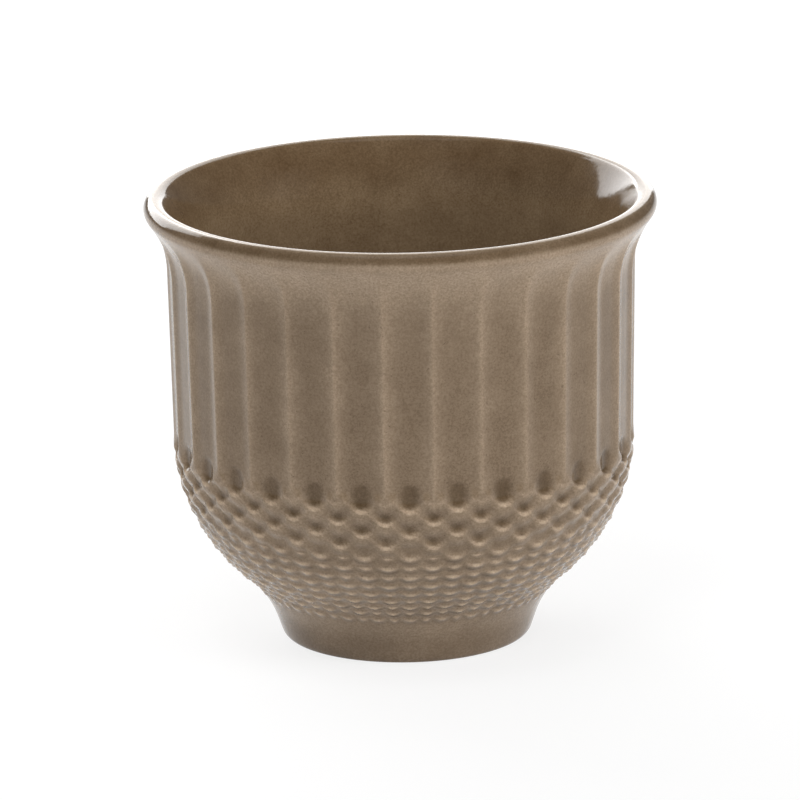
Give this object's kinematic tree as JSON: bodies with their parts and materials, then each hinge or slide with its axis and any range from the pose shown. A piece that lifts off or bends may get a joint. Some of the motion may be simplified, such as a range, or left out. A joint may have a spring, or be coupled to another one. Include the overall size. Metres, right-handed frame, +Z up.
{
  "type": "handleless coffee cup",
  "caption": "Handleless ceramic coffee cup with a rounded flared lip, a fluted wall, a bowl of staggered dimples and a small conical foot with a bare standing ring.",
  "frame": {"origin": "centre of the standing ring, on the surface that the cup stands on", "axes": "+Z up along the cup's axis; a rib of the wall lies on +X"},
  "size_m": [0.095, 0.095, 0.0842],
  "materials": {
    "clay": "bare fired stoneware, matt and slightly gritty",
    "glaze_outside": "glossy taupe-brown glaze, mottled and finely speckled",
    "glaze_inside": "glossy taupe-brown glaze, a little darker than outside",
    "glaze_base": "glossy taupe-brown glaze, as inside"
  },
  "bodies": {
    "root": {"clay_body": "clay", "outer_glaze": "glaze_outside", "liner_glaze": "glaze_inside", "base_glaze": "glaze_base"}
  },
  "joints": []
}
